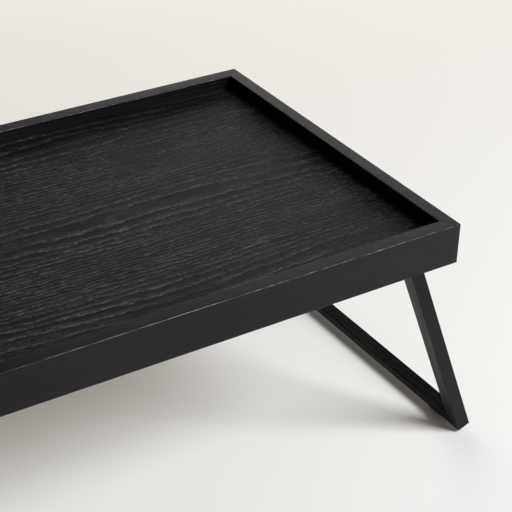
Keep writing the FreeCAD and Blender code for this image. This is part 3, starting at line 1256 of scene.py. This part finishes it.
@dataclass
class LegFrame:
    """One U-shaped leg frame: two legs, the foot rail between them and two rubber pads."""

    side: Side
    edge_radius: float = 1.0 * MM
    edge_facets: int = 3
    crown_facets: int = 10
    crown_share: float = 0.999
    divisions: int = 44
    hollow_depth: float = 0.12 * MM
    hollow_size: float = 10.0 * MM
    pad_facets: int = 26
    sole_radius: float = 0.8 * MM
    sole_border: float = 1.7 * MM
    sole_recess: float = 0.5 * MM
    sole_tolerance: float = 0.1 * MM
    middle_band: float = 0.05
    peg_radius: float = 1.9 * MM
    peg_length: float = 5.6 * MM
    foot_rail_height: float = 12.0 * MM

    @property
    def body(self) -> str:
        """CAD body that the frame is."""
        return self.side.word + "_leg_frame"

    def node(self, kind: str, edge: Edge) -> str:
        """Name of one of the frame's nodes."""
        return f"{kind}_{edge.word}_{self.side.word}"

    def pivot(self) -> Vector:
        """The point on the frame's hinge at the table's middle."""
        low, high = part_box(self.node("pivot_bolt", Edge.FRONT))
        return Vector(((low.x + high.x) / 2, 0, (low.z + high.z) / 2))

    def build(self, leg_ash: Material, rail_ash: Material, rubber: Material) -> None:
        """Model the frame and dress it.

        Args:
            leg_ash: Finish with the fibres down the legs.
            rail_ash: Finish with the fibres along the foot rail.
            rubber: Finish of the pads.
        """
        front_leg = self.leg()
        back_leg = copy_of(front_leg, self.node("leg", Edge.BACK) + "_ash")
        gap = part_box(self.node("leg", Edge.BACK))[0].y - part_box(self.node("leg", Edge.FRONT))[0].y
        shift(back_leg, Vector((0, gap, 0)))
        for edge, piece in ((Edge.FRONT, front_leg), (Edge.BACK, back_leg)):
            self.finish(piece, leg_ash, self.node("leg", edge))
        self.finish(self.foot_rail(), rail_ash, "foot_rail_" + self.side.word)
        for edge in Edge:
            pad = self.pad(edge)
            smooth(pad)
            place(pad, rubber, self.body, self.node("foot_pad", edge), "rubber_pad")

    def finish(self, piece: Object, material: Material, node: str) -> None:
        """Weather, shade and dress one wooden piece, and let it stand for its node.

        Args:
            piece: The piece.
            material: Its finish.
            node: CAD node that it replaces.
        """
        weather(piece, self.hollow_depth, self.hollow_size)
        smooth(piece)
        place(piece, material, self.body, node, "stained_ash")

    def reach(self) -> float:
        """Measure from the hinge to the square-cut lower end of a leg.

        Returns:
            The distance in metres.
        """
        slope = math.radians(SPLAY)
        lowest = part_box(self.node("leg", Edge.FRONT))[0].z
        return (self.pivot().z - lowest - self.half_depth() * math.sin(slope)) / math.cos(slope)

    def half_depth(self) -> float:
        """Half the leg's depth across the frame's plane: the crown's radius above the hinge."""
        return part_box(self.node("leg", Edge.FRONT))[1].z - self.pivot().z

    def leg(self) -> Object:
        """Model the front leg: a bar with a round crown about the hinge, leaned outward.

        Returns:
            The leg in its place.
        """
        low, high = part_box(self.node("leg", Edge.FRONT))
        pivot = self.pivot()
        half = self.half_depth()
        bottom = Vector((pivot.x - half, low.y, pivot.z - self.reach()))
        top = Vector((pivot.x + half, high.y, pivot.z + half))
        piece = add_box(self.node("leg", Edge.FRONT) + "_ash", bottom, top)
        with editing(piece):
            pick(piece, Element.EDGE, lambda edge: runs_along(edge, AXIS_Y) and middle_of(edge).z > pivot.z)
            round_picked(half * self.crown_share, self.crown_facets)
            divide_along(piece, AXIS_Z, self.divisions)
        bevel_all(piece, self.edge_radius, self.edge_facets)
        turn(piece, -SPLAY * self.side.sign, "Y", pivot)
        return piece

    def foot_rail(self) -> Object:
        """Model the foot rail, flush with the legs' lower ends.

        Returns:
            The rail in its place.
        """
        low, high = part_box("foot_rail_" + self.side.word)
        pivot = self.pivot()
        half = self.half_depth()
        floor = pivot.z - self.reach()
        bottom = Vector((pivot.x - half, low.y, floor))
        top = Vector((pivot.x + half, high.y, floor + self.foot_rail_height))
        piece = add_box(f"foot_rail_{self.side.word}_ash", bottom, top)
        with editing(piece):
            divide_along(piece, AXIS_Y, self.divisions)
        with editing(piece):
            pick(piece, Element.EDGE, lambda edge: runs_along(edge, AXIS_Y))
            round_picked(self.edge_radius, self.edge_facets)
        turn(piece, -SPLAY * self.side.sign, "Y", pivot)
        return piece

    def pad(self, edge: Edge) -> Object:
        """Model one pad: an oblong block, level below, sloped to the foot rail above, with its peg.

        Args:
            edge: Whether the pad is near the front or the back.

        Returns:
            The pad in its place.
        """
        node = self.node("foot_pad", edge)
        low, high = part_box(node)
        slope = math.radians(SPLAY)
        outward = Vector((math.sin(slope) * self.side.sign, 0, -math.cos(slope)))
        rail_face = self.pivot() + outward * self.reach()
        centre = (low + high) / 2
        radius = (high.x - low.x) / 2
        straight = (high.y - low.y) / 2 - radius
        deselect_everything()
        bpy.ops.mesh.primitive_cylinder_add(
            vertices=self.pad_facets, radius=radius, depth=high.z - low.z, location=centre,
        )
        piece = named(bpy.context.active_object, node + "_rubber")
        with editing(piece):
            for end in (-1, 1):
                pick(piece, Element.EDGE, lambda edge_: self.beyond(edge_, centre.y, end, radius))
                bpy.ops.transform.translate(value=(0, straight * end, 0))
            cut_by_plane(rail_face, -outward)
            pick(piece, Element.EDGE, self.on_the_sole)
            round_picked(self.sole_radius, self.edge_facets)
            pick(piece, Element.FACE, lambda face: face.normal.z < -ALIGNED)
            bpy.ops.mesh.inset(thickness=self.sole_border)
            draw_picked(Vector((0, 0, self.sole_recess)))
            pick(piece, Element.FACE, lambda face: face.normal.dot(-outward) > ALIGNED)
            bpy.ops.mesh.inset(thickness=radius - self.peg_radius)
            stretch = self.peg_radius / (self.peg_radius + straight)
            bpy.ops.transform.resize(value=(1, stretch, 1), center_override=(centre.x, centre.y, rail_face.z))
            draw_picked(-outward * self.peg_length)
        return piece

    def on_the_sole(self, edge: BMEdge) -> bool:
        """Say whether an edge lies on the floor."""
        return all(vert.co.z < self.sole_tolerance for vert in edge.verts)

    def beyond(self, edge: BMEdge, middle: float, end: int, radius: float) -> bool:
        """Say whether an edge lies wholly on one side of the pad's middle, in Y."""
        return all((vert.co.y - middle) * end > radius * self.middle_band for vert in edge.verts)


@dataclass
class Hardware:
    """Bolts, washers, inserts, screws and dowels, which keep their CAD shapes."""

    steel: Steel = Steel("black_oxide_steel", (0.022, 0.022, 0.024), (0.16, 0.155, 0.15), 0.85, 0.30)
    zinc: Steel = Steel("zinc_alloy", (0.50, 0.49, 0.47), (0.66, 0.65, 0.62), 1.0, 0.32)
    nylon: Moulded = Moulded("black_nylon", (0.02, 0.02, 0.021), (0.045, 0.044, 0.043), 0.48, 0.008 * MM)
    beech: PlainWood = PlainWood("beech", (0.42, 0.27, 0.16), (0.62, 0.44, 0.29), roughness=0.6)

    def build(self) -> None:
        """Dress every piece of hardware at all four corners."""
        finishes = {
            "pivot_bolt": self.steel.material(),
            "pivot_insert": self.zinc.material(),
            "spacer_washer": self.nylon.material(),
            "mitre_dowels": self.beech.material(),
        }
        finishes["head_washer"] = finishes["pivot_bolt"]
        finishes["block_screws"] = finishes["pivot_bolt"]
        finishes["foot_rail_dowels"] = finishes["mitre_dowels"]
        for kind, material in finishes.items():
            for edge in Edge:
                for side in Side:
                    dress(f"{kind}_{edge.word}_{side.word}", material)


@dataclass
class StopBlocks:
    """The four corner blocks whose sloping faces stop the open legs."""

    edge_radius: float = 0.5 * MM
    edge_facets: int = 2

    def build(self, ash: Material) -> None:
        """Model each block and dress it.

        Args:
            ash: Finish with the fibres along the tray.
        """
        for side in Side:
            for edge in Edge:
                node = f"stop_block_{edge.word}_{side.word}"
                piece = self.block(node, side)
                smooth(piece)
                place(piece, ash, "tray", node, "stained_ash")

    def block(self, node: str, side: Side) -> Object:
        """Model one block: a box with its inner face cut to the slope of an open leg.

        Args:
            node: CAD node that it stands for.
            side: End of the table.

        Returns:
            The block in its place.
        """
        low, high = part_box(node)
        slope = math.radians(SPLAY)
        inner_top = Vector((low.x if side is Side.RIGHT else high.x, 0, high.z))
        piece = add_box(node + "_ash", low, high)
        with editing(piece):
            cut_by_plane(inner_top, Vector((-math.cos(slope) * side.sign, 0, -math.sin(slope))))
        bevel_all(piece, self.edge_radius, self.edge_facets)
        return piece


@dataclass(frozen=True)
class SoftBox:
    """A broad, soft light aimed at the middle of the table."""

    name: str
    azimuth: float
    elevation: float
    distance: float
    width: float
    height: float
    power: float
    colour: Colour
    shows_in_gloss: bool = True

    def hang(self, target: Vector) -> None:
        """Hang the light.

        Args:
            target: The point that it is aimed at.
        """
        turn_angle = math.radians(self.azimuth)
        rise = math.radians(self.elevation)
        level = math.cos(rise)
        direction = Vector((math.cos(turn_angle) * level, math.sin(turn_angle) * level, math.sin(rise)))
        deselect_everything()
        bpy.ops.object.light_add(type="AREA", location=target + direction * self.distance)
        light = bpy.context.active_object
        light.name = self.name
        light.rotation_euler = direction.to_track_quat("Z", "Y").to_euler()
        light.data.shape = "RECTANGLE"
        light.data.size = self.width
        light.data.size_y = self.height
        light.data.energy = self.power
        light.data.color = self.colour
        light.visible_camera = False
        light.visible_glossy = self.shows_in_gloss


@dataclass
class Studio:
    """Plain pale floor, three soft lights, faint surroundings and the camera."""

    floor_size: float = 14.0
    floor_colour: Colour = (0.80, 0.80, 0.80)
    surround_colour: Colour = (1.0, 0.95, 0.88)
    surround_strength: float = 0.04
    backdrop_colour: Colour = (0.84, 0.83, 0.80)
    backdrop_near: float = 1.5
    backdrop_far: float = 3.1
    aim: Point = (0.05, 0.0, 0.12)
    lights: tuple[SoftBox, ...] = (
        SoftBox("key_light", -55.0, 41.0, 2.6, 1.1, 0.9, 72.0, (0.975, 0.985, 1.0)),
        SoftBox("back_fill", 76.0, 16.0, 3.4, 3.8, 1.5, 116.0, (1.0, 0.92, 0.78), shows_in_gloss=False),
        SoftBox("sheen_card", 44.0, 17.0, 3.4, 3.0, 1.4, 23.5, (1.0, 0.985, 0.955)),
    )
    camera_place: Point = (-0.43067, -0.98715, 0.86604)
    camera_yaw: float = 33.152
    camera_pitch: float = 31.408
    camera_roll: float = 1.470
    lens: float = 104.76
    sensor: float = 36.0
    farthest: float = 50.0

    def build(self) -> None:
        """Set up everything round the table."""
        bpy.context.scene.view_settings.view_transform = "Standard"
        self.lay_floor()
        self.surround()
        for light in self.lights:
            light.hang(Vector(self.aim))
        self.set_camera()

    def lay_floor(self) -> None:
        """Lay a plain floor under the feet, which runs out into a pale backdrop."""
        deselect_everything()
        bpy.ops.mesh.primitive_plane_add(size=self.floor_size)
        floor = named(bpy.context.active_object, "studio_floor")
        surface = Surface.start("studio_floor")
        graph = surface.graph
        away = graph.vector("LENGTH", surface.place).outputs["Value"]
        fade = graph.ramp(away, self.backdrop_near, self.backdrop_far)
        black = (0.0, 0.0, 0.0)
        surface.set(Roughness=0.9, Specular_IOR_Level=0.0, Emission_Strength=1.0)
        surface.set(Base_Color=graph.blend(fade, self.floor_colour, black))
        surface.set(Emission_Color=graph.blend(fade, black, self.backdrop_colour))
        floor.data.materials.append(surface.material)

    def surround(self) -> None:
        """Light the table faintly from all round, in front of a plain pale backdrop."""
        world = bpy.data.worlds.new("studio_surround")
        world.use_nodes = True
        graph = Graph(world.node_tree)
        faint = next(node for node in graph.tree.nodes if node.type == "BACKGROUND")
        end = next(node for node in graph.tree.nodes if node.type == "OUTPUT_WORLD")
        graph.feed(faint.inputs["Color"], (*self.surround_colour, 1.0))
        graph.feed(faint.inputs["Strength"], self.surround_strength)
        pale = graph.node("ShaderNodeBackground")
        graph.feed(pale.inputs["Color"], (*self.backdrop_colour, 1.0))
        seen = graph.node("ShaderNodeMixShader")
        graph.feed(seen.inputs[0], graph.node("ShaderNodeLightPath").outputs["Is Camera Ray"])
        graph.feed(seen.inputs[1], faint.outputs[0])
        graph.feed(seen.inputs[2], pale.outputs[0])
        graph.feed(end.inputs["Surface"], seen.outputs[0])
        bpy.context.scene.world = world

    def set_camera(self) -> None:
        """Place the camera at the front left, looking down over the right end of the tray."""
        data = bpy.data.cameras.new("camera")
        data.lens = self.lens
        data.sensor_width = self.sensor
        data.clip_end = self.farthest
        camera = bpy.data.objects.new("camera", data)
        bpy.context.scene.collection.objects.link(camera)
        yaw = Matrix.Rotation(math.radians(-self.camera_yaw), 4, "Z")
        pitch = Matrix.Rotation(math.radians(90 - self.camera_pitch), 4, "X")
        roll = Matrix.Rotation(math.radians(self.camera_roll), 4, "Z")
        camera.matrix_world = Matrix.Translation(self.camera_place) @ yaw @ pitch @ roll
        bpy.context.scene.camera = camera


def main() -> None:
    """Build the table's sub-assemblies in order, then the studio round it."""
    logging.basicConfig(level=logging.INFO, format="%(message)s")
    Rim().build()
    TrayPanel().build()
    foot_rail_ash = leg_finish(Grain.ALONG_Y).material()
    rubber = Moulded("rubber_pad", (0.018, 0.018, 0.018), (0.05, 0.049, 0.047), 0.62, 0.012 * MM).material()
    for side, grain in ((Side.RIGHT, Grain.DOWN_RIGHT_LEG), (Side.LEFT, Grain.DOWN_LEFT_LEG)):
        LegFrame(side).build(leg_finish(grain).material(), foot_rail_ash, rubber)
    StopBlocks().build(bpy.data.materials["stained_ash_along_x"])
    Hardware().build()
    Studio().build()


if __name__ == "__main__":
    main()
